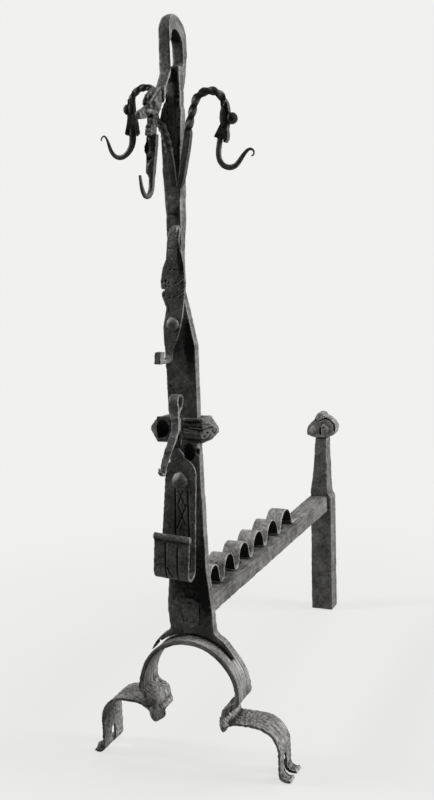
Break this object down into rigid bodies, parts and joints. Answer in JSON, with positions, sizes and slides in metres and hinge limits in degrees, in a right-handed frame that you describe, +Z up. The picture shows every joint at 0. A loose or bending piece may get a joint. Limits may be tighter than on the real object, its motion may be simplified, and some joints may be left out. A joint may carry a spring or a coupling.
{
  "type": "andiron",
  "caption": "Tall hand-forged hearth andiron: arched feet, upright post with swivelling ladle hooks, dragon-head hooks and a long log bar with a wave strip.",
  "frame": {"origin": "centre of the footprint's bounding box, on the floor", "axes": "+X the andiron's right seen from the hearth side, +Y along the log bar towards the back, +Z up the post"},
  "size_m": [0.2668, 0.7034, 0.898],
  "materials": {
    "iron": "forged, dark oxide, satin",
    "worn_iron": "forged, rubbed lighter on edges",
    "dark_iron": "forged, sooty, dull"
  },
  "bodies": {
    "andiron": {"post": "iron", "top_eye": "worn_iron", "arch": "worn_iron", "left_leg": "worn_iron", "right_leg": "worn_iron", "log_bar": "iron", "wave_strip": "worn_iron", "rear_leg": "iron", "rear_bud": "worn_iron", "collar": "iron", "lower_rivet": "worn_iron", "upper_rivet": "worn_iron", "left_arm": "dark_iron", "left_head": "dark_iron", "left_hook": "dark_iron", "right_arm": "dark_iron", "right_head": "dark_iron", "right_hook": "dark_iron", "front_arm": "dark_iron", "front_head": "dark_iron", "front_hook": "dark_iron"},
    "lower_swivel": {"lower_hook": "iron"},
    "upper_swivel": {"upper_hook": "iron"}
  },
  "joints": [
    {"name": "lower_hook_swivel", "type": "hinge", "parent": "andiron", "child": "lower_swivel", "pos_m": [-0.004, -0.25775, 0.359], "axis": [0, 1, 0], "range_deg": [-110, 110]},
    {"name": "upper_hook_swivel", "type": "hinge", "parent": "andiron", "child": "upper_swivel", "pos_m": [-0.006, -0.25775, 0.547], "axis": [0, 1, 0], "range_deg": [-110, 110]}
  ]
}
